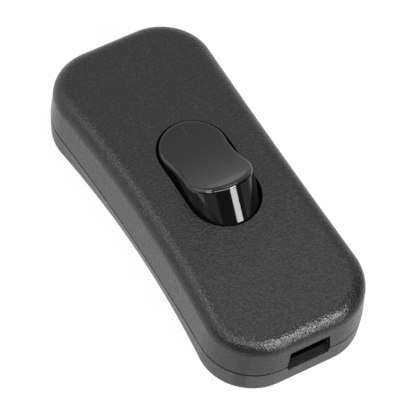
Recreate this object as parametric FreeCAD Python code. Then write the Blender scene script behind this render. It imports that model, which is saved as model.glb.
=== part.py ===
import FreeCAD, Part
import math
import os

from FreeCAD import Vector

# Inline cord switch with a rocker, in millimetres.
# X runs across the switch, Y along the cord and Z up.
# The origin is at the middle of the underside.
# The switch is modelled in its on position, with the far (+Y) lobe of the rocker pressed in.

# Housing, outside
length = 70.0
end_width = 30.4            # widest, near both ends
waist_width = 28.9          # narrowest, at the middle of the long sides
corner_radius = 9.75
end_height = 12.8           # height of the crowned top at the two ends
crown_rise = 2.65           # how much higher the top is at the middle
parting_height = 4.9        # height of the joint line between cover and base
cover_draft = 0.3           # taper of the cover's walls, from the joint line to the top
base_draft = 0.3            # taper of the base's walls, from the joint line to the underside
base_tuck = 0.9             # further tuck of the base's long sides at their middle
shoulder_radius = 3.3       # rounding of the cover's upper edge
base_edge_radius = 0.7      # rounding of the base's lower edge

# Housing, inside
wall = 1.8
floor_thickness = 1.8
groove_height = 0.35        # open groove along the joint line
lip_height = 1.2            # the base's lip above the groove
lip_thickness = 0.9
lip_clearance = 0.1
boss_clearance = 0.1        # screw shank to its hole

# Cord entries, a six-sided hole in each end
entry_top_width = 7.7
entry_parting_width = 8.6
entry_bottom_width = 7.8
entry_top_height = 8.8
entry_bottom_height = 3.65

# Rocker well in the cover
well_length = 23.4
well_width = 13.2
well_wall = 1.5
well_bottom_height = 9.5
well_side_clearance = 0.4   # rocker to the long sides of the well
well_end_clearance = 0.15   # rocker to the hollowed ends of the well
pivot_height = 12.1         # height of the rocker's axis

# Rocker
rocker_swing = 16.0         # degrees to each side of level
rocker_overreach = 0.15     # half length at the axis, beyond the edge of the well
rocker_end_lean = 16.5      # degrees that the end faces lean inwards, above and below the axis
rocker_rise = 5.3           # top of the rocker above its axis, at the middle
rocker_hollow_radius = 28.0  # curvature of the concave top
rocker_waist_depth = 0.55   # each side, at the top
rocker_waist_radius = 18.0
rocker_waist_fade = 2.7     # height over which the waist runs out below the top
rocker_blend_radius = 5.0   # where the waist runs into the lobes
rocker_edge_radius = 0.8
rocker_wall = 1.4
rocker_skirt = 1.5          # skirt below the axis
trunnion_radius = 1.5
trunnion_clearance = 0.15
spring_tube_radius = 2.6
spring_tube_drop = 2.7      # lower end of the spring tube, below the axis

# Spring and plunger
bore_radius = 1.7
bore_rise = 3.1             # closed end of the bore, above the axis
spring_radius = 1.2         # to the middle of the wire
spring_wire_radius = 0.2
spring_turns = 6
spring_end_gap = 0.1
plunger_tip_height = 6.4    # at the middle of the swing
plunger_nose_radius = 1.0
plunger_collar_height = 0.8
plunger_collar_drop = 1.8   # upper face of the collar, below the axis
plunger_stem_radius = 0.75
plunger_stem_length = 2.0
plunger_clearance = 0.15

# Contact bridge and tips
fulcrum_height = 5.0
bridge_swing = 6.0          # degrees to each side of level
bridge_width = 5.0
bridge_thickness = 0.6
bridge_gap = 0.25           # plunger tip to bridge
bridge_contact_arm = 6.8    # from the fulcrum to the contact
bridge_tail_arm = 3.4
bridge_trough_half = 2.3    # half length of the trough
bead_radius = 0.5
bead_clearance = 0.1
tip_radius = 1.2
tip_height = 0.5
tip_dome_radius = 3.0
tip_gap = 0.1               # between the closed contact tips

# Terminals
strip_thickness = 0.8
strip_width = 5.0
strip_height = 4.2          # upper face of the brass strips
saddle_length = 2.4
pad_width = 4.4
pad_length = 6.0
pad_side_gap = 0.55         # pad to the side wall, at the narrower width of the housing
pad_boss_gap = 0.8          # cross strips to the bosses of the housing screws
neutral_strip_width = 2.6
neutral_strip_gap = 0.5     # neutral strip to the bearing posts
collar_radius = 2.0         # threaded collar under each screw
collar_depth = 1.2
terminal_screw_radius = 1.25
terminal_screw_length = 2.2
terminal_head_radius = 2.1
terminal_head_height = 1.5

# Cord clamps
clamp_inset = 7.2           # from the end face
clamp_screw_x = 6.9
clamp_boss_radius = 2.4
clamp_boss_height = 7.4
clamp_bar_length = 19.0
clamp_bar_width = 4.4
clamp_bar_thickness = 1.8
clamp_arch_width = 8.0
clamp_arch_depth = 0.7
clamp_rib_height = 3.4      # upper edge of the ribs that the cord lies on
clamp_rib_thickness = 1.0
clamp_rib_spacing = 2.4
clamp_screw_radius = 1.0
clamp_screw_length = 4.6
clamp_head_radius = 1.9
clamp_head_height = 1.3

# Housing screws, from below
housing_screw_inset = 14.4  # from the end face
housing_boss_radius = 3.3
housing_boss_height = 7.2
cover_boss_radius = 2.7
housing_screw_radius = 1.3
housing_screw_depth = 4.0   # thread depth in the cover's boss
housing_head_radius = 2.5
housing_head_height = 1.9
housing_head_recess = 0.5   # head below the underside
head_clearance = 0.3
slot_width = 0.6
slot_depth = 0.6

# Bearing posts on the base
post_length = 2.6
post_foot_length = 5.0

overcut = 1.0               # how far cutting bodies run past the faces they cut
crown_height = end_height + crown_rise
crown_radius = ((length / 2) ** 2 + crown_rise ** 2) / (2 * crown_rise)
base_top = parting_height - groove_height / 2
cover_bottom = parting_height + groove_height / 2
lip_top = cover_bottom + lip_height
rocker_half_length = well_length / 2 + rocker_overreach
rocker_half_width = well_width / 2 - well_side_clearance
relief_half_length = rocker_half_length + well_end_clearance
plunger_reach = pivot_height - plunger_tip_height
strip_bottom = strip_height - strip_thickness
clamp_y = length / 2 - clamp_inset
housing_screw_y = length / 2 - housing_screw_inset
terminal_x = min(end_width, waist_width) / 2 - wall - pad_side_gap - pad_width / 2
terminal_y = housing_screw_y - housing_boss_radius - pad_boss_gap - strip_width / 2 + pad_length / 2
neutral_strip_x = well_width / 2 + well_wall + neutral_strip_gap + neutral_strip_width / 2


def box(x0, x1, y0, y1, z0, z1):
    return Part.makeBox(x1 - x0, y1 - y0, z1 - z0, Vector(x0, y0, z0))


def rod_z(x, y, radius, z0, z1):
    return Part.makeCylinder(radius, z1 - z0, Vector(x, y, z0))


def rod_x(y, z, radius, x0, x1):
    return Part.makeCylinder(radius, x1 - x0, Vector(x0, y, z), Vector(1, 0, 0))


def prism(wire, height):
    return Part.Face(wire).extrude(Vector(0, 0, height))


def fuse(shapes):
    return shapes[0].multiFuse(shapes[1:]).removeSplitter()


def mirror_y(shape):
    return shape.mirror(Vector(0, 0, 0), Vector(0, 1, 0))


def mirror_x(shape):
    return shape.mirror(Vector(0, 0, 0), Vector(1, 0, 0))


def tilted(shape, degrees, height):
    """Turn a shape about the X-direction axis that crosses the centre plane at this height."""
    turned = shape.copy()
    turned.rotate(Vector(0, 0, height), Vector(1, 0, 0), degrees)
    return turned


def housing_outline(inset, tuck, z):
    """Waisted outline: straight ends, round corners and one shallow arc along each long side."""
    radius = corner_radius - inset
    corner_x = end_width / 2 - corner_radius
    corner_y = length / 2 - corner_radius
    middle_x = waist_width / 2 - inset - tuck
    reach = middle_x - corner_x
    side_radius = (reach ** 2 + corner_y ** 2 - radius ** 2) / (2 * (radius - reach))
    away_x = (reach + side_radius) / (side_radius + radius)
    away_y = -corner_y / (side_radius + radius)
    touch = Vector(corner_x + radius * away_x, corner_y + radius * away_y, z)
    end = Vector(corner_x, corner_y + radius, z)
    bisector = Vector(away_x, away_y + 1, 0).normalize()
    turn = Vector(corner_x, corner_y, z) + bisector * radius

    def flip(point, sx, sy):
        return Vector(point.x * sx, point.y * sy, point.z)

    edges = []
    edges.append(Part.Arc(flip(touch, 1, -1), Vector(middle_x, 0, z), touch).toShape())
    edges.append(Part.Arc(touch, turn, end).toShape())
    edges.append(Part.makeLine(end, flip(end, -1, 1)))
    edges.append(Part.Arc(flip(end, -1, 1), flip(turn, -1, 1), flip(touch, -1, 1)).toShape())
    edges.append(Part.Arc(flip(touch, -1, 1), Vector(-middle_x, 0, z), flip(touch, -1, -1)).toShape())
    edges.append(Part.Arc(flip(touch, -1, -1), flip(turn, -1, -1), flip(end, -1, -1)).toShape())
    edges.append(Part.makeLine(flip(end, -1, -1), flip(end, 1, -1)))
    edges.append(Part.Arc(flip(end, 1, -1), flip(turn, 1, -1), flip(touch, 1, -1)).toShape())
    return Part.Wire(edges)


def stadium(half_width, half_length, z):
    straight = half_length - half_width
    right_low = Vector(half_width, -straight, z)
    right_high = Vector(half_width, straight, z)
    left_high = Vector(-half_width, straight, z)
    left_low = Vector(-half_width, -straight, z)
    edges = []
    edges.append(Part.makeLine(right_low, right_high))
    edges.append(Part.Arc(right_high, Vector(0, half_length, z), left_high).toShape())
    edges.append(Part.makeLine(left_high, left_low))
    edges.append(Part.Arc(left_low, Vector(0, -half_length, z), right_low).toShape())
    return Part.Wire(edges)


def crowned(inset):
    """Drafted cover body under the crowned top, inset on all sides, with its upper edge rounded."""
    top = crown_height + overcut
    draft = cover_draft * (top - cover_bottom) / (crown_height - cover_bottom)
    lower = housing_outline(inset, 0, cover_bottom)
    upper = housing_outline(inset + draft, 0, top)
    body = Part.makeLoft([lower, upper], True, True)
    crown = rod_x(0, crown_height - crown_radius, crown_radius - inset, -end_width, end_width)
    body = body.common(crown)
    roof = max(body.Faces, key=lambda face: face.CenterOfMass.z)
    return body.makeFillet(shoulder_radius - inset, roof.Edges)


def entry_cut():
    """The two cord entries, through both end walls of cover and base."""
    top = entry_top_width / 2
    middle = entry_parting_width / 2
    bottom = entry_bottom_width / 2
    y = -length / 2 - overcut
    corners = [
        (-top, entry_top_height), (top, entry_top_height), (middle, parting_height),
        (bottom, entry_bottom_height), (-bottom, entry_bottom_height), (-middle, parting_height),
    ]
    points = [Vector(x, y, z) for x, z in corners]
    near = Part.Face(Part.makePolygon(points + points[:1])).extrude(Vector(0, wall + 2 * overcut, 0))
    return near.fuse(mirror_y(near))


def turned(half_width, half_length):
    """Stadium turned about the rocker's axis."""
    straight = half_length - half_width
    z = pivot_height
    axis_left = Vector(-half_width, 0, z)
    axis_right = Vector(half_width, 0, z)
    right = Vector(half_width, straight, z)
    left = Vector(-half_width, straight, z)
    profile = Part.Wire([
        Part.makeLine(axis_left, axis_right),
        Part.makeLine(axis_right, right),
        Part.Arc(right, Vector(0, half_length, z), left).toShape(),
        Part.makeLine(left, axis_left)])
    return Part.Face(profile).revolve(Vector(0, 0, z), Vector(1, 0, 0), 360)


def well_cut():
    """Opening for the rocker, hollowed below its edge where the rocker's ends swing past."""
    opening = prism(stadium(well_width / 2, well_length / 2, 0), crown_height + overcut)
    lower = prism(stadium(well_width / 2, relief_half_length, 0), pivot_height)
    return fuse([opening, turned(well_width / 2, relief_half_length), lower])


def make_top_cover():
    shell = crowned(0).cut(crowned(wall))
    collar = prism(stadium(well_width / 2 + well_wall, relief_half_length + well_wall, well_bottom_height),
                   crown_height - well_bottom_height)
    bosses = []
    for side in (-1, 1):
        bosses.append(rod_z(0, side * housing_screw_y, cover_boss_radius, housing_boss_height, crown_height))
    inside = fuse([collar] + bosses).common(crowned(wall / 2))
    cover = fuse([shell, inside])
    cover = cover.cut(well_cut())
    reach = well_width / 2 + well_wall + overcut
    slot_radius = trunnion_radius + trunnion_clearance
    bearing = rod_x(0, pivot_height, slot_radius, -reach, reach)
    slot = box(-reach, reach, -slot_radius, slot_radius, well_bottom_height - overcut, pivot_height)
    cover = cover.cut(bearing.fuse(slot))
    hole_radius = housing_screw_radius + boss_clearance
    for side in (-1, 1):
        hole = rod_z(0, side * housing_screw_y, hole_radius, 0,
                     housing_boss_height + housing_screw_depth + boss_clearance)
        cover = cover.cut(hole)
    rebate = prism(housing_outline(wall - lip_thickness - lip_clearance, 0, cover_bottom - overcut),
                   lip_top - cover_bottom + overcut)
    rebate = rebate.cut(prism(stadium(cover_boss_radius, housing_screw_y + cover_boss_radius, 0), crown_height))
    return cover.cut(rebate).cut(entry_cut())


def make_bottom_cover():
    outer = Part.makeLoft([
        housing_outline(base_draft, base_tuck, 0),
        housing_outline(0, 0, base_top)], True, True)
    underside = min(outer.Faces, key=lambda face: face.CenterOfMass.z)
    outer = outer.makeFillet(base_edge_radius, underside.Edges)
    cavity = Part.makeLoft([
        housing_outline(base_draft + wall, base_tuck, floor_thickness),
        housing_outline(wall, 0, base_top)], True, True)
    lip = prism(housing_outline(wall - lip_thickness, 0, base_top), lip_top - base_top)
    lip = lip.cut(prism(housing_outline(wall, 0, base_top), lip_top - base_top))
    base = fuse([outer.cut(cavity), lip]).cut(entry_cut())
    base = fuse([base] + bearing_posts() + terminal_rests() + clamp_seats() + screw_bosses())
    for side in (-1, 1):
        y = side * housing_screw_y
        base = base.cut(rod_z(0, y, housing_screw_radius + boss_clearance, 0, housing_boss_height))
        base = base.cut(rod_z(0, y, housing_head_radius + head_clearance, -overcut,
                              housing_head_recess + housing_head_height))
        for x in (-clamp_screw_x, clamp_screw_x):
            base = base.cut(rod_z(x, side * clamp_y, clamp_screw_radius + boss_clearance,
                                  clamp_boss_height - clamp_screw_length - boss_clearance,
                                  clamp_boss_height))
    return base


def bearing_posts():
    """Posts that close the bearing slots from below and carry the rocker's trunnions."""
    inner = well_width / 2
    outer = inner + well_wall
    top = pivot_height
    post = box(inner, outer, -post_length / 2, post_length / 2, floor_thickness / 2, top)
    foot = box(inner, outer, -post_foot_length / 2, post_foot_length / 2,
               floor_thickness / 2, well_bottom_height - lip_height)
    saddle = rod_x(0, pivot_height, trunnion_radius + trunnion_clearance, 0, outer + overcut)
    right = fuse([post, foot]).cut(saddle)
    return [right, mirror_x(right)]


def terminal_rests():
    """Ribs and cups on the floor that the brass pieces lie on."""
    rests = []
    low = floor_thickness / 2
    for x in (-terminal_x, terminal_x):
        for y in (-terminal_y, terminal_y):
            ring = rod_z(x, y, collar_radius + wall / 2 + bead_clearance, low, strip_bottom)
            ring = ring.cut(rod_z(x, y, collar_radius + bead_clearance, floor_thickness, strip_bottom))
            rests.append(ring)
    for y in (0, -bridge_contact_arm):
        rests.append(box(-strip_width / 2, strip_width / 2, y - wall / 2, y + wall / 2, low, strip_bottom))
    reach = neutral_strip_width / 2
    rests.append(box(neutral_strip_x - reach, neutral_strip_x + reach, -wall / 2, wall / 2,
                     low, strip_bottom))
    return rests


def clamp_seats():
    """Screw bosses of the cord clamps, and the cross ribs that the cord lies on."""
    seats = []
    low = floor_thickness / 2
    for side in (-1, 1):
        for x in (-clamp_screw_x, clamp_screw_x):
            seats.append(rod_z(x, side * clamp_y, clamp_boss_radius, low, clamp_boss_height))
        for step in (-0.5, 0.5):
            y = side * clamp_y + step * clamp_rib_spacing
            seats.append(box(-clamp_screw_x, clamp_screw_x, y - clamp_rib_thickness / 2,
                             y + clamp_rib_thickness / 2, low, clamp_rib_height))
    return seats


def screw_bosses():
    bosses = []
    for side in (-1, 1):
        bosses.append(rod_z(0, side * housing_screw_y, housing_boss_radius,
                            floor_thickness / 2, housing_boss_height))
    return bosses


def rocker_form(inset):
    """What two stadium columns share when they lean to either side about the rocker's axis."""
    half_length = rocker_half_length * math.cos(math.radians(rocker_end_lean)) - inset
    outline = stadium(rocker_half_width - inset, half_length, pivot_height - well_length)
    column = prism(outline, 2 * well_length)
    return tilted(column, rocker_end_lean, pivot_height).common(tilted(column, -rocker_end_lean, pivot_height))


def above_dish(inset):
    """Everything above the rocker's concave top."""
    centre = pivot_height + rocker_rise - inset + rocker_hollow_radius
    return rod_x(0, centre, rocker_hollow_radius, -well_width, well_width)


def waist_cut():
    """Round cutters that lean outwards and hollow the rocker's two sides near its top."""
    top = pivot_height + rocker_rise
    x = rocker_half_width - rocker_waist_depth + rocker_waist_radius
    lean = math.degrees(math.atan(rocker_waist_depth / rocker_waist_fade))
    cutter = Part.makeCylinder(rocker_waist_radius, 4 * rocker_rise, Vector(x, 0, top - 2 * rocker_rise))
    cutter.rotate(Vector(rocker_half_width - rocker_waist_depth, 0, top), Vector(0, 1, 0), -lean)
    return cutter.fuse(mirror_x(cutter))


def waist_borders(body, below):
    """Edges round the two waists, up to this height."""
    borders = []
    for face in body.Faces:
        if isinstance(face.Surface, Part.Cylinder) and abs(face.Surface.Radius - rocker_waist_radius) < 1e-6:
            borders += [edge for edge in face.Edges if edge.CenterOfMass.z < below - 1e-3]
    return borders


def make_rocker():
    rim = rocker_hollow_radius - math.sqrt(rocker_hollow_radius ** 2 - rocker_half_length ** 2)
    block_top = pivot_height + rocker_rise + rim + overcut
    block = box(-well_width, well_width, -well_length, well_length, pivot_height - rocker_skirt, block_top)
    body = rocker_form(0).common(block).cut(waist_cut())
    body = body.makeFillet(rocker_blend_radius, waist_borders(body, block_top)).cut(above_dish(0))
    dish = max(body.Faces, key=lambda face: face.CenterOfMass.z)
    body = body.makeFillet(rocker_edge_radius, dish.Edges)
    tube = rod_z(0, 0, spring_tube_radius, pivot_height - spring_tube_drop, pivot_height + rocker_rise)
    body = body.cut(rocker_form(rocker_wall).cut(above_dish(rocker_wall)).cut(tube))
    stub = tube.cut(above_dish(rocker_edge_radius))
    trunnion_end = well_width / 2 + well_wall
    trunnion = rod_x(0, pivot_height, trunnion_radius, rocker_half_width - rocker_wall / 2, trunnion_end)
    body = fuse([body, stub, trunnion, mirror_x(trunnion)])
    bore = rod_z(0, 0, bore_radius, pivot_height - spring_tube_drop - overcut, pivot_height + bore_rise)
    return tilted(body.cut(bore), -rocker_swing, pivot_height)


def make_rocker_spring():
    low = pivot_height - plunger_collar_drop + spring_end_gap + spring_wire_radius
    high = pivot_height + bore_rise - spring_end_gap - spring_wire_radius
    pitch = (high - low) / spring_turns
    helix = Part.makeHelix(pitch, high - low, spring_radius)
    helix.translate(Vector(0, 0, low))
    start = Vector(spring_radius, 0, low)
    ring = Part.Wire([Part.makeCircle(spring_wire_radius, start, Vector(0, 1, 0))])
    coil = Part.Wire(helix.Edges).makePipeShell([ring], True, True)
    return tilted(coil, -rocker_swing, pivot_height)


def make_plunger():
    tip = pivot_height - plunger_reach
    ball = tip + plunger_nose_radius
    collar_top = pivot_height - plunger_collar_drop
    collar_low = collar_top - plunger_collar_height
    nose = Part.makeSphere(plunger_nose_radius, Vector(0, 0, ball))
    pin = rod_z(0, 0, plunger_nose_radius, ball, collar_low)
    collar = rod_z(0, 0, bore_radius - plunger_clearance, collar_low, collar_top)
    stem = rod_z(0, 0, plunger_stem_radius, collar_top, collar_top + plunger_stem_length)
    return tilted(fuse([nose, pin, collar, stem]), -rocker_swing, pivot_height)


def trough():
    """Radius and centre height of the trough that the plunger's ball follows, seen from the bridge."""
    ball_arm = plunger_reach - plunger_nose_radius
    swing = math.radians(rocker_swing)
    tilt = math.radians(bridge_swing)
    level = pivot_height - ball_arm - fulcrum_height
    side_y = ball_arm * math.sin(swing)
    side_z = pivot_height - ball_arm * math.cos(swing) - fulcrum_height
    seen_y = side_y * math.cos(tilt) - side_z * math.sin(tilt)
    seen_z = side_y * math.sin(tilt) + side_z * math.cos(tilt)
    rise = seen_z - level
    path_radius = (seen_y ** 2 + rise ** 2) / (2 * rise)
    return path_radius + plunger_nose_radius + bridge_gap, fulcrum_height + level + path_radius


def make_contact_bridge():
    radius, centre = trough()
    edge_z = centre - math.sqrt(radius ** 2 - bridge_trough_half ** 2)
    x0 = -bridge_width / 2
    arm_z = edge_z - bridge_thickness
    plate = box(x0, -x0, -bridge_contact_arm - tip_radius, bridge_tail_arm, arm_z, edge_z)
    hump = rod_x(0, centre, radius + bridge_thickness, x0, -x0)
    hump = hump.common(box(x0, -x0, -bridge_trough_half, bridge_trough_half, fulcrum_height, edge_z))
    bead = rod_x(0, fulcrum_height, bead_radius, x0 + bridge_gap, -x0 - bridge_gap)
    neck = box(x0 + bridge_gap, -x0 - bridge_gap, -bead_radius, bead_radius,
               fulcrum_height, centre - radius)
    bridge = fuse([plate, hump, bead, neck]).cut(rod_x(0, centre, radius, x0 - overcut, -x0 + overcut))
    return tilted(bridge, bridge_swing, fulcrum_height), arm_z


def make_moving_contact_tip(arm_z):
    """Domed rivet head under the contact arm; also gives the height of its lowest point."""
    dome_centre = arm_z - tip_height + tip_dome_radius
    head = rod_z(0, -bridge_contact_arm, tip_radius, arm_z - tip_height, arm_z)
    dome = Part.makeSphere(tip_dome_radius, Vector(0, -bridge_contact_arm, dome_centre))
    tilt = math.radians(bridge_swing)
    rise = dome_centre - fulcrum_height
    lowest = fulcrum_height - bridge_contact_arm * math.sin(tilt) + rise * math.cos(tilt) - tip_dome_radius
    seat_y = -bridge_contact_arm * math.cos(tilt) - rise * math.sin(tilt)
    return tilted(head.common(dome), bridge_swing, fulcrum_height), lowest, seat_y


def make_screw(x, y, seat, shank_radius, shank_length, head_radius, head_height):
    """Slotted cheese-head screw that stands head up on its seat."""
    shank = rod_z(x, y, shank_radius, seat - shank_length, seat)
    head = rod_z(x, y, head_radius, seat, seat + head_height)
    slot = box(x - head_radius, x + head_radius, y - slot_width / 2, y + slot_width / 2,
               seat + head_height - slot_depth, seat + head_height)
    return fuse([shank, head]).cut(slot)


def terminal_pad(x, y):
    """Screw pad with its threaded collar below."""
    pad = box(x - pad_width / 2, x + pad_width / 2, y - pad_length / 2, y + pad_length / 2,
              strip_bottom, strip_height)
    collar = rod_z(x, y, collar_radius, strip_bottom - collar_depth, strip_height)
    return pad.fuse(collar)


def screw_hole(x, y):
    return rod_z(x, y, terminal_screw_radius + boss_clearance,
                 strip_bottom - collar_depth - overcut, strip_height + overcut)


def corner_strip(y_start, side):
    """Strip from the mechanism along the centre line, then across to the pad on the left."""
    half = strip_width / 2
    inner = side * (terminal_y - pad_length / 2)
    turn = inner + side * half
    along = box(-half, half, min(y_start, turn), max(y_start, turn), strip_bottom, strip_height)
    across = box(-terminal_x - pad_width / 2, half, min(inner, turn), max(inner, turn),
                 strip_bottom, strip_height)
    return along.fuse(across)


def make_pivot_terminal():
    strip = corner_strip(-saddle_length / 2, 1)
    saddle = box(-strip_width / 2, strip_width / 2, -saddle_length / 2, saddle_length / 2,
                 strip_height, fulcrum_height)
    groove = rod_x(0, fulcrum_height, bead_radius + bead_clearance, -strip_width, strip_width)
    body = fuse([strip, saddle, terminal_pad(-terminal_x, terminal_y)])
    return body.cut(groove).cut(screw_hole(-terminal_x, terminal_y))


def make_fixed_terminal(seat_y):
    strip = corner_strip(seat_y + tip_radius, -1)
    body = fuse([strip, terminal_pad(-terminal_x, -terminal_y)])
    return body.cut(screw_hole(-terminal_x, -terminal_y))


def make_neutral_terminal():
    half = neutral_strip_width / 2
    reach = terminal_y - pad_length / 2 + neutral_strip_width
    strip = box(neutral_strip_x - half, neutral_strip_x + half, -reach, reach, strip_bottom, strip_height)
    body = fuse([strip, terminal_pad(terminal_x, -terminal_y), terminal_pad(terminal_x, terminal_y)])
    for y in (-terminal_y, terminal_y):
        body = body.cut(screw_hole(terminal_x, y))
    return body


def make_cord_clamp(side):
    y = side * clamp_y
    top = clamp_boss_height + clamp_bar_thickness
    straight = clamp_bar_length / 2 - clamp_bar_width / 2
    bar = box(-straight, straight, y - clamp_bar_width / 2, y + clamp_bar_width / 2, clamp_boss_height, top)
    ends = [rod_z(x, y, clamp_bar_width / 2, clamp_boss_height, top) for x in (-straight, straight)]
    bar = fuse([bar] + ends)
    half = clamp_arch_width / 2
    arch = box(-half, half, y - clamp_bar_width, y + clamp_bar_width,
               clamp_boss_height - overcut, clamp_boss_height + clamp_arch_depth)
    bar = bar.cut(arch)
    for x in (-clamp_screw_x, clamp_screw_x):
        bar = bar.cut(rod_z(x, y, clamp_screw_radius + boss_clearance, clamp_boss_height, top))
    return bar


def make_housing_screw(side):
    y = side * housing_screw_y
    seat = housing_head_recess + housing_head_height
    length_up = housing_boss_height + housing_screw_depth - seat
    upright = make_screw(0, 0, 0, housing_screw_radius, length_up, housing_head_radius, housing_head_height)
    upright.rotate(Vector(0, 0, 0), Vector(1, 0, 0), 180)
    upright.translate(Vector(0, y, seat))
    return upright


bridge_shape, bridge_arm_z = make_contact_bridge()
moving_tip, contact_height, contact_y = make_moving_contact_tip(bridge_arm_z)

pieces = {
    "top_cover": make_top_cover(),
    "bottom_cover": make_bottom_cover(),
    "rocker": make_rocker(),
    "rocker_spring": make_rocker_spring(),
    "plunger": make_plunger(),
    "contact_bridge": bridge_shape,
    "moving_contact_tip": moving_tip,
    "pivot_terminal": make_pivot_terminal(),
    "fixed_terminal": make_fixed_terminal(contact_y),
    "fixed_contact_tip": rod_z(0, contact_y, tip_radius, strip_height, contact_height - tip_gap),
    "neutral_terminal": make_neutral_terminal(),
    "cord_clamp_near": make_cord_clamp(-1),
    "cord_clamp_far": make_cord_clamp(1),
    "housing_screw_near": make_housing_screw(-1),
    "housing_screw_far": make_housing_screw(1),
}

terminal_screws = {
    "pivot_terminal_screw": (-terminal_x, terminal_y),
    "fixed_terminal_screw": (-terminal_x, -terminal_y),
    "neutral_screw_near": (terminal_x, -terminal_y),
    "neutral_screw_far": (terminal_x, terminal_y),
}
for name, (x, y) in terminal_screws.items():
    pieces[name] = make_screw(x, y, strip_height, terminal_screw_radius, terminal_screw_length,
                              terminal_head_radius, terminal_head_height)

clamp_screws = {
    "clamp_screw_near_left": (-clamp_screw_x, -clamp_y),
    "clamp_screw_near_right": (clamp_screw_x, -clamp_y),
    "clamp_screw_far_left": (-clamp_screw_x, clamp_y),
    "clamp_screw_far_right": (clamp_screw_x, clamp_y),
}
for name, (x, y) in clamp_screws.items():
    pieces[name] = make_screw(x, y, clamp_boss_height + clamp_bar_thickness, clamp_screw_radius,
                              clamp_screw_length, clamp_head_radius, clamp_head_height)

os.makedirs("parts", exist_ok=True)
for name, shape in pieces.items():
    solids = shape.Solids
    solid = solids[0] if len(solids) == 1 else shape
    solid.exportStep("parts/" + name + ".step")
    print(name, len(solids), "solid", "valid" if solid.isValid() else "not valid", round(solid.Volume, 2))
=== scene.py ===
import math

import bpy
from mathutils import Matrix, Vector


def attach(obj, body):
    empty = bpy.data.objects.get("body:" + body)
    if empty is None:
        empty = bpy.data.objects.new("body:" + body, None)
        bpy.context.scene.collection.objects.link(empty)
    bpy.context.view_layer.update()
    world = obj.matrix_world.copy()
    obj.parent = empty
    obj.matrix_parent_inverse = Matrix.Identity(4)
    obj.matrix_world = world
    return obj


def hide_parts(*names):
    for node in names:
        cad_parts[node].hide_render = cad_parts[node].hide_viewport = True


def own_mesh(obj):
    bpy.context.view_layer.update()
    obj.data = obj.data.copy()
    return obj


# Inline cord switch on a white table, seen from above its near left corner. Metres throughout.
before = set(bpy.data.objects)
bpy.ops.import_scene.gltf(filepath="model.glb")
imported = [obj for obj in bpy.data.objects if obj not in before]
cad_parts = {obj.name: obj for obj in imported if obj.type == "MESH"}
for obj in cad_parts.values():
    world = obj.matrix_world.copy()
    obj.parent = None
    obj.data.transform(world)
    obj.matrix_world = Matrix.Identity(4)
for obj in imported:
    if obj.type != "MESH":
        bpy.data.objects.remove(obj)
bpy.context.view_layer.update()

MM = 0.001

# Viewing position
VIEW_AZIMUTH = math.radians(-36.26)     # from the -Y end towards -X
VIEW_ELEVATION = math.radians(55.2)
VIEW_ROLL = math.radians(7.15)
VIEW_DISTANCE = 661.55 * MM
AIM = Vector((0.0, 0.0, 8.0 * MM))
AIM_RIGHT = 0.35 * MM                   # how far the aim is moved in the picture, to the right
AIM_DOWN = 1.95 * MM
FRAME_PIXELS = 416
FOCAL_PIXELS = 3820.8
SENSOR_MM = 36.0
CLIP_START = 10.0 * MM
CLIP_END = 10.0

# Moulded grain
NOISE_SCALE = 0.5                       # scale of a noise whose lumps are about a metre across
GRAIN_SIZE = 0.24 * MM
GRAIN_SHARPNESS = 0.6
PEBBLE_BAND = (0.35, 0.65)              # part of the noise that the pebbles take up
NOISE_BAND = (0.3, 0.7)                 # range of nearly all values of a noise
CLOUD_SIZE = 3.0 * MM
CLOUD_SHADE = 0.8
WALL_FACING, TOP_FACING = 0.15, 0.6     # how far up a surface faces where its grain is weak, full
WALL_GRAIN = 0.4
EDGE_SOFTNESS = 0.15 * MM
EDGE_SAMPLES = 6

# Polish of the rocker, and metal
WAVE_SIZE = 2.5 * MM
POLISH_ROUGHNESS = (0.05, 0.08)
POLISH_IOR = 1.58
BRUSH_SIZE = 0.15 * MM
FINE_RELIEF = 0.004 * MM
ROUGHNESS_SPREAD = 0.06

# Painted shade on the hidden inner faces of the housing and in its joint
INSIDE_HALF_WIDTH = 12.6 * MM
INSIDE_HALF_LENGTH = 33.1 * MM
INSIDE_MIDDLE = 6.0 * MM
INSIDE_HALF_HEIGHT = 4.9 * MM
INSIDE_EDGE = 0.05 * MM
JOINT_HEIGHT = 4.9 * MM
JOINT_HALF_HEIGHT = 0.2 * MM
JOINT_EDGE = 0.01 * MM

# Colours: the dark and the light end of each finish
COVER_BLACK = ((0.002, 0.002, 0.0021, 1.0), (0.0135, 0.0135, 0.0138, 1.0))
BASE_BLACK = ((0.012, 0.012, 0.0125, 1.0), (0.024, 0.024, 0.0245, 1.0))
GLOSS_BLACK = ((0.003, 0.003, 0.0031, 1.0), (0.004, 0.004, 0.0042, 1.0))
MARK_BLACK = ((0.008, 0.008, 0.0082, 1.0), (0.014, 0.014, 0.0143, 1.0))
CLAMP_GREY = ((0.4, 0.4, 0.39, 1.0), (0.46, 0.46, 0.44, 1.0))
BRASS = ((0.62, 0.44, 0.18, 1.0), (0.74, 0.55, 0.26, 1.0))
SILVER_ALLOY = ((0.7, 0.69, 0.66, 1.0), (0.8, 0.79, 0.76, 1.0))
ZINC_PLATE = ((0.5, 0.5, 0.5, 1.0), (0.62, 0.62, 0.61, 1.0))
SPRING_WIRE = ((0.35, 0.35, 0.36, 1.0), (0.5, 0.5, 0.5, 1.0))
TABLE_WHITE = ((0.88, 0.88, 0.88, 1.0), (0.91, 0.91, 0.91, 1.0))
# painted shade for the inner faces and the joint of the housing
PAINTED_SHADE_BLACK = (0.002, 0.002, 0.002, 1.0)
PAST_PAPER_GREY = (0.15, 0.15, 0.15, 1.0)
PURE_WHITE = (1.0, 1.0, 1.0, 1.0)

# Rocker at rest: tilted about its axis
ROCKER_AXIS_HEIGHT = 12.1 * MM
ROCKER_TILT = math.radians(-16.0)

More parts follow.
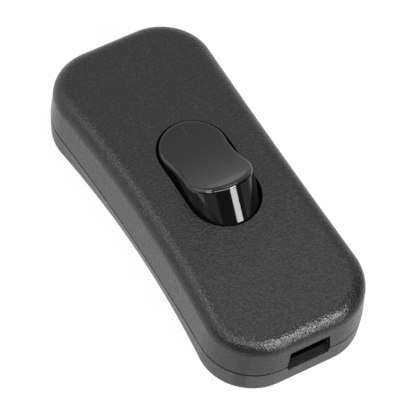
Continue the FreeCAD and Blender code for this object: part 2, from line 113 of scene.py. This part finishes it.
# Coil spring in the rocker's tube, with its end turns wound close
SPRING_LOW = 10.6 * MM                  # middle of the wire, with the rocker level
SPRING_HIGH = 14.9 * MM
SPRING_RADIUS = 1.2 * MM
WIRE_RADIUS = 0.2 * MM
END_PITCH = 0.44 * MM
END_TURNS = 1
OPEN_TURNS = 4
STEPS_PER_TURN = 28
WIRE_SIDES = 10

# On mark: a low bar on the pressed lobe, placed on the hollow top of the level rocker
DISH_BOTTOM = 17.4 * MM
DISH_RADIUS = 28.0 * MM
MARK_X = 0.3 * MM
MARK_START = 6.5 * MM
MARK_LENGTH = 2.0 * MM
MARK_HALF_WIDTH = 0.17 * MM
MARK_HEIGHT = 0.12 * MM
MARK_SINK = 0.05 * MM
MARK_STEPS = 12
MARK_PROFILE = (                        # height above the top, share of the half width
    (-MARK_SINK, 1.0),
    (0.5 * MARK_HEIGHT, 1.0),
    (0.85 * MARK_HEIGHT, 0.85),
    (MARK_HEIGHT, 0.5),
)

# Table
FLOOR_SIZE = 6.0
FLOOR_DROP = 0.05 * MM                  # keeps the table off the underside's face
FLOOR_ROUGHNESS = 0.9
FLOOR_GRAIN = 0.8 * MM
WHITE_SHARE = 0.92                      # of the sheet's look: the rest is its lit surface
PAPER_START = 42.0 * MM                 # the pale sheet ends softly on the -Y side
PAPER_END = 68.0 * MM
PAPER_BACK = 15.0 * MM                  # past this on the +Y side it has no end

# Room: dark on the -Y side and pale on the +Y side
ROOM_RISE = 0.3                         # how much height counts towards the pale side
ROOM_SIDES = (-0.3, 0.4)
ROOM_LEVELS = (0.02, 0.95)
CEILING_START = 0.8
HORIZON_LEVEL, CEILING_LEVEL = 0.82, 0.72

# Lamps: name, direction from the object, distance, width, height, watts
LAMPS = (
    ("overhead", (0.24, 0.02, 0.97), 0.8, 0.5, 0.5, 1.1),
    ("near_right", (0.25, -0.81, 0.53), 0.8, 0.28, 0.26, 5.6),
    ("near_left", (-0.83, -0.3, 0.47), 0.8, 0.28, 0.24, 1.25),
    ("left_soft", (-0.68, 0.5, 0.5), 0.8, 0.7, 0.35, 0.9),
    ("left_high", (-0.62, 0.2, 0.76), 0.8, 0.22, 0.22, 1.1),
    ("front_strip", (-0.314, -0.674, 0.669), 0.8, 0.75, 0.22, 3.2),
    ("low_window", (0.235, -0.972, 0.12), 0.5, 0.155, 0.12, 0.62),
)


def view_axes():
    """Right, up and back of the camera."""
    back = Vector((math.sin(VIEW_AZIMUTH) * math.cos(VIEW_ELEVATION),
                   -math.cos(VIEW_AZIMUTH) * math.cos(VIEW_ELEVATION),
                   math.sin(VIEW_ELEVATION)))
    right = Vector((math.cos(VIEW_AZIMUTH), math.sin(VIEW_AZIMUTH), 0.0))
    up = back.cross(right)
    turned_right = right * math.cos(VIEW_ROLL) + up * math.sin(VIEW_ROLL)
    turned_up = up * math.cos(VIEW_ROLL) - right * math.sin(VIEW_ROLL)
    return turned_right, turned_up, back


def add_camera():
    right, up, back = view_axes()
    data = bpy.data.cameras.new("camera")
    data.sensor_width = SENSOR_MM
    data.lens = FOCAL_PIXELS / FRAME_PIXELS * SENSOR_MM
    data.clip_start = CLIP_START
    data.clip_end = CLIP_END
    camera = bpy.data.objects.new("camera", data)
    bpy.context.scene.collection.objects.link(camera)
    place = AIM + right * AIM_RIGHT - up * AIM_DOWN + back * VIEW_DISTANCE
    rows = Matrix((right, up, back)).transposed()
    camera.matrix_world = Matrix.Translation(place) @ rows.to_4x4()
    bpy.context.scene.camera = camera


class Tree:
    """Node tree of a material or of the world, with short calls for the nodes used here."""

    def __init__(self, owner):
        owner.use_nodes = True
        self.nodes = owner.node_tree.nodes
        self.links = owner.node_tree.links

    def fill(self, node, inputs):
        """Set each input of a node to a plain value or to another node's output."""
        for name, value in inputs.items():
            if isinstance(value, bpy.types.NodeSocket):
                self.links.new(value, node.inputs[name])
            else:
                node.inputs[name].default_value = value

    def add(self, kind, inputs):
        node = self.nodes.new(kind)
        self.fill(node, inputs)
        return node

    def coordinates(self, kind):
        return self.nodes.new("ShaderNodeTexCoord").outputs[kind]

    def components(self, vector):
        """X, Y and Z of a vector."""
        return self.add("ShaderNodeSeparateXYZ", {"Vector": vector}).outputs

    def calculate(self, operation, *terms):
        node = self.nodes.new("ShaderNodeMath")
        node.operation = operation
        self.fill(node, dict(enumerate(terms)))
        return node.outputs["Value"]

    def length(self, vector):
        node = self.nodes.new("ShaderNodeVectorMath")
        node.operation = "LENGTH"
        self.fill(node, {0: vector})
        return node.outputs["Value"]

    def mix(self, data_type, share, first, second):
        """First where share is 0, second where it is 1."""
        node = self.nodes.new("ShaderNodeMix")
        node.data_type = data_type
        self.fill(node, {"Factor": share, "A": first, "B": second})
        return node.outputs["Result"]

    def ramp(self, value, low, high, start=0.0, end=1.0):
        """Linear map of value from low..high to start..end, held at both ends."""
        node = self.add("ShaderNodeMapRange", {"Value": value, "From Min": low, "From Max": high,
                                               "To Min": start, "To Max": end})
        return node.outputs["Result"]

    def noise(self, place, size, detail=2.0, sharpness=0.5):
        """Noise whose lumps are about size metres across."""
        node = self.add("ShaderNodeTexNoise", {"Vector": place, "Scale": NOISE_SCALE / size,
                                               "Detail": detail, "Roughness": sharpness})
        return node.outputs["Fac"]

    def relief(self, height, depth, strength=1.0):
        """Normal of a fine relief over edges that are softened a little, as a mould leaves them."""
        soft = self.add("ShaderNodeBevel", {"Radius": EDGE_SOFTNESS})
        soft.samples = EDGE_SAMPLES
        node = self.add("ShaderNodeBump", {"Normal": soft.outputs["Normal"], "Height": height,
                                           "Distance": depth, "Strength": strength})
        return node.outputs["Normal"]


def new_material(name):
    material = bpy.data.materials.new(name)
    tree = Tree(material)
    return material, tree, tree.nodes["Principled BSDF"]


def within(tree, value, middle, half, edge):
    """1 where value lies within half of the middle, falling to 0 over the edge."""
    away = tree.calculate("ABSOLUTE", tree.calculate("SUBTRACT", value, middle))
    return tree.ramp(away, half - edge, half + edge, 1.0, 0.0)


def painted_shade_mask(tree, place):
    """1 on the hidden inner faces of the housing and in its joint, where shade is painted in for
    the little light that gets there.
    """
    x, y, z = tree.components(place)
    across = within(tree, x, 0.0, INSIDE_HALF_WIDTH, INSIDE_EDGE)
    along = within(tree, y, 0.0, INSIDE_HALF_LENGTH, INSIDE_EDGE)
    tall = within(tree, z, INSIDE_MIDDLE, INSIDE_HALF_HEIGHT, INSIDE_EDGE)
    cavity = tree.calculate("MULTIPLY", tree.calculate("MULTIPLY", across, along), tall)
    joint = within(tree, z, JOINT_HEIGHT, JOINT_HALF_HEIGHT, JOINT_EDGE)
    return tree.calculate("MAXIMUM", cavity, joint)


def grained_plastic(name, colours, depth, roughness, paints_inner_shade=False):
    """Moulded plastic with a fine pebbled grain. A shell of the housing gets painted shade on its
    inner faces and in its joint.
    """
    material, tree, shader = new_material(name)
    place = tree.coordinates("Object")
    grain = tree.noise(place, GRAIN_SIZE, sharpness=GRAIN_SHARPNESS)
    cloud = tree.noise(place, CLOUD_SIZE, detail=3.0)
    shade = tree.calculate("MULTIPLY", tree.ramp(cloud, *NOISE_BAND, CLOUD_SHADE, 1.0),
                           tree.ramp(grain, *PEBBLE_BAND))
    colour = tree.mix("RGBA", shade, *colours)
    if paints_inner_shade:
        # painted shade: the housing's inner faces and joint turn nearly black
        colour = tree.mix("RGBA", painted_shade_mask(tree, place), colour, PAINTED_SHADE_BLACK)
    facing = tree.components(tree.coordinates("Normal"))["Z"]
    strength = tree.ramp(facing, WALL_FACING, TOP_FACING, WALL_GRAIN, 1.0)
    tree.fill(shader, {
        "Base Color": colour,
        "Roughness": tree.ramp(grain, *PEBBLE_BAND, roughness + ROUGHNESS_SPREAD,
                               roughness - ROUGHNESS_SPREAD),
        "Normal": tree.relief(grain, depth, strength),
    })
    return material


def gloss_plastic(name, colours):
    """Polished plastic with the faint waviness of a moulded surface."""
    material, tree, shader = new_material(name)
    wave = tree.noise(tree.coordinates("Object"), WAVE_SIZE, detail=1.0)
    tree.fill(shader, {
        "Base Color": tree.mix("RGBA", wave, *colours),
        "IOR": POLISH_IOR,
        "Roughness": tree.ramp(wave, *NOISE_BAND, *POLISH_ROUGHNESS),
        "Normal": tree.relief(wave, FINE_RELIEF),
    })
    return material


def metal(name, colours, roughness):
    material, tree, shader = new_material(name)
    brushed = tree.noise(tree.coordinates("Object"), BRUSH_SIZE)
    tree.fill(shader, {
        "Base Color": tree.mix("RGBA", brushed, *colours),
        "Metallic": 1.0,
        "Roughness": tree.ramp(brushed, *NOISE_BAND, roughness - ROUGHNESS_SPREAD,
                               roughness + ROUGHNESS_SPREAD),
        "Normal": tree.relief(brushed, FINE_RELIEF),
    })
    return material


def dress(material, *names):
    for name in names:
        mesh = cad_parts[name].data
        mesh.materials.clear()
        mesh.materials.append(material)


def dress_all():
    # both shells get painted shade on their inner faces and in their joint
    dress(grained_plastic("cover_grain", COVER_BLACK, depth=0.15 * MM, roughness=0.3,
                          paints_inner_shade=True), "top_cover")
    dress(grained_plastic("base_grain", BASE_BLACK, depth=0.03 * MM, roughness=0.4,
                          paints_inner_shade=True), "bottom_cover")
    dress(gloss_plastic("rocker_gloss", GLOSS_BLACK), "rocker")
    dress(grained_plastic("clamp_grain", CLAMP_GREY, depth=0.01 * MM, roughness=0.5),
          "plunger", "cord_clamp_near", "cord_clamp_far")
    dress(metal("brass", BRASS, roughness=0.3),
          "contact_bridge", "pivot_terminal", "fixed_terminal", "neutral_terminal")
    dress(metal("silver_alloy", SILVER_ALLOY, roughness=0.25),
          "moving_contact_tip", "fixed_contact_tip")
    dress(metal("zinc_plate", ZINC_PLATE, roughness=0.32),
          "housing_screw_near", "housing_screw_far", "pivot_terminal_screw", "fixed_terminal_screw",
          "neutral_screw_near", "neutral_screw_far", "clamp_screw_near_left",
          "clamp_screw_near_right", "clamp_screw_far_left", "clamp_screw_far_right")


def add_mesh(name, points, faces, material):
    mesh = bpy.data.meshes.new(name)
    mesh.from_pydata(points, [], faces)
    mesh.materials.append(material)
    piece = bpy.data.objects.new(name, mesh)
    bpy.context.scene.collection.objects.link(piece)
    return piece


def ring_faces(rings, sides):
    """Quads between rings of points, then the first and the last ring as caps."""
    faces = []
    for ring in range(rings - 1):
        low_row, high_row = ring * sides, (ring + 1) * sides
        for corner in range(sides):
            following = (corner + 1) % sides
            faces.append((low_row + corner, low_row + following,
                          high_row + following, high_row + corner))
    faces.append(tuple(reversed(range(sides))))
    faces.append(tuple(range((rings - 1) * sides, rings * sides)))
    return faces


def tilted(place):
    """Point of the level rocker, as it stands at rest."""
    pivot = Vector((0.0, 0.0, ROCKER_AXIS_HEIGHT))
    return pivot + Matrix.Rotation(ROCKER_TILT, 3, "X") @ (place - pivot)


def spring_line():
    """Points along the middle of the wire, with the rocker level."""
    turns = 2 * END_TURNS + OPEN_TURNS
    open_pitch = (SPRING_HIGH - SPRING_LOW - 2 * END_TURNS * END_PITCH) / OPEN_TURNS
    height = SPRING_LOW
    places = []
    for step in range(turns * STEPS_PER_TURN + 1):
        angle = 2 * math.pi * step / STEPS_PER_TURN
        places.append(Vector((SPRING_RADIUS * math.cos(angle), SPRING_RADIUS * math.sin(angle),
                              height)))
        turn = step // STEPS_PER_TURN
        closed = turn < END_TURNS or turn >= turns - END_TURNS
        height += (END_PITCH if closed else open_pitch) / STEPS_PER_TURN
    return places


def add_spring():
    """Coil spring that moves with the rocker."""
    places = spring_line()
    points = []
    for index, place in enumerate(places):
        before, after = places[max(index - 1, 0)], places[min(index + 1, len(places) - 1)]
        outward = Vector((place.x, place.y, 0.0)).normalized()
        side = (after - before).normalized().cross(outward).normalized()
        for corner in range(WIRE_SIDES):
            angle = 2 * math.pi * corner / WIRE_SIDES
            offset = outward * math.cos(angle) + side * math.sin(angle)
            points.append(tilted(place + offset * WIRE_RADIUS))
    spring = add_mesh("spring_coil", points, ring_faces(len(places), WIRE_SIDES),
                      metal("spring_wire", SPRING_WIRE, roughness=0.28))
    for polygon in spring.data.polygons[:-2]:
        polygon.use_smooth = True
    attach(spring, "rocker")
    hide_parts("rocker_spring")
    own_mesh(spring)


def on_dish(x, y, above):
    """Point above the rocker's hollow top, with the rocker as it stands at rest."""
    fall = math.sqrt(DISH_RADIUS ** 2 - y ** 2)
    inward = Vector((0.0, -y, fall)) / DISH_RADIUS
    return tilted(Vector((x, y, DISH_BOTTOM + DISH_RADIUS - fall)) + inward * above)


def add_on_mark():
    """Bar with round ends and a softened upper edge."""
    outline = []
    far_end = MARK_START + MARK_LENGTH - MARK_HALF_WIDTH
    near_end = MARK_START + MARK_HALF_WIDTH
    for end, start_angle in ((far_end, 0.0), (near_end, math.pi)):
        for step in range(MARK_STEPS + 1):
            angle = start_angle + math.pi * step / MARK_STEPS
            outline.append((math.cos(angle), math.sin(angle), end))
    points = []
    for above, share in MARK_PROFILE:
        size = MARK_HALF_WIDTH * share
        for across, along, end in outline:
            points.append(on_dish(MARK_X + across * size, end + along * size, above))
    mark = add_mesh("on_mark", points, ring_faces(len(MARK_PROFILE), len(outline)),
                    grained_plastic("mark_satin", MARK_BLACK, depth=FINE_RELIEF, roughness=0.45))
    for polygon in mark.data.polygons:
        polygon.use_smooth = True
    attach(mark, "rocker")


def forward_reach(tree, place):
    """Distance from the middle of the object, fading to nothing on the +Y side."""
    x, y, _ = tree.components(place)
    flat = tree.add("ShaderNodeCombineXYZ", {"X": x, "Y": tree.calculate("MINIMUM", y, 0.0)})
    ahead = tree.ramp(y, -PAPER_BACK, PAPER_BACK, 1.0, 0.0)
    return tree.calculate("MULTIPLY", tree.length(flat.outputs["Vector"]), ahead)


def seen_rays(tree, mirrored_share):
    """1 for the rays that show the background, and less where gloss mirrors it."""
    path = tree.nodes.new("ShaderNodeLightPath").outputs
    mirrored = tree.calculate("MAXIMUM", path["Is Glossy Ray"], path["Is Transmission Ray"])
    return tree.calculate("MAXIMUM", path["Is Camera Ray"],
                          tree.calculate("MULTIPLY", mirrored, mirrored_share))


def table_material():
    """Matt table that shows as plain white, with a soft part of the object's shadow on it.

    Gloss mirrors a pale sheet under the object and a darker table past it.
    """
    material, tree, shader = new_material("table_white")
    place = tree.coordinates("Object")
    paper = tree.ramp(forward_reach(tree, place), PAPER_START, PAPER_END, 1.0, 0.0)
    pale = tree.mix("RGBA", tree.noise(place, FLOOR_GRAIN), *TABLE_WHITE)
    tree.fill(shader, {
        "Base Color": tree.mix("RGBA", paper, PAST_PAPER_GREY, pale),
        "Roughness": FLOOR_ROUGHNESS,
        "Specular IOR Level": 0.0,
    })
    white = tree.ramp(paper, 0.0, 1.0, 1.0, WHITE_SHARE)
    glow = tree.nodes.new("ShaderNodeEmission")
    mix = tree.add("ShaderNodeMixShader", {
        "Fac": tree.calculate("MULTIPLY", seen_rays(tree, paper), white),
        1: shader.outputs["BSDF"],
        2: glow.outputs["Emission"],
    })
    tree.fill(tree.nodes["Material Output"], {"Surface": mix.outputs["Shader"]})
    return material


def add_floor():
    half = FLOOR_SIZE / 2
    corners = [(-half, -half, 0.0), (half, -half, 0.0), (half, half, 0.0), (-half, half, 0.0)]
    floor = add_mesh("floor", corners, [(0, 1, 2, 3)], table_material())
    floor.location.z = -FLOOR_DROP


def add_world():
    """Room around the object, plain white where the camera sees it."""
    world = bpy.data.worlds.new("studio")
    tree = Tree(world)
    _, y, z = tree.components(tree.coordinates("Generated"))
    side = tree.calculate("MULTIPLY_ADD", z, ROOM_RISE, y)
    level = tree.calculate("MULTIPLY", tree.ramp(side, *ROOM_SIDES, *ROOM_LEVELS),
                           tree.ramp(z, 0.0, CEILING_START, HORIZON_LEVEL, CEILING_LEVEL))
    camera_ray = tree.nodes.new("ShaderNodeLightPath").outputs["Is Camera Ray"]
    tree.fill(tree.nodes["Background"], {
        "Color": PURE_WHITE,
        "Strength": tree.mix("FLOAT", camera_ray, level, 1.0),
    })
    bpy.context.scene.world = world


def add_lamps():
    """Soft rectangular lamps that face the object and don't show in the picture."""
    for name, direction, distance, width, height, watts in LAMPS:
        data = bpy.data.lights.new(name, "AREA")
        data.shape = "RECTANGLE"
        data.size = width
        data.size_y = height
        data.energy = watts
        lamp = bpy.data.objects.new(name, data)
        bpy.context.scene.collection.objects.link(lamp)
        away = Vector(direction).normalized()
        lamp.location = AIM + away * distance
        lamp.rotation_euler = away.to_track_quat("Z", "Y").to_euler()
        lamp.visible_camera = False


add_camera()
dress_all()
add_spring()
add_on_mark()
add_floor()
add_world()
add_lamps()

bpy.context.scene.view_settings.view_transform = "Standard"
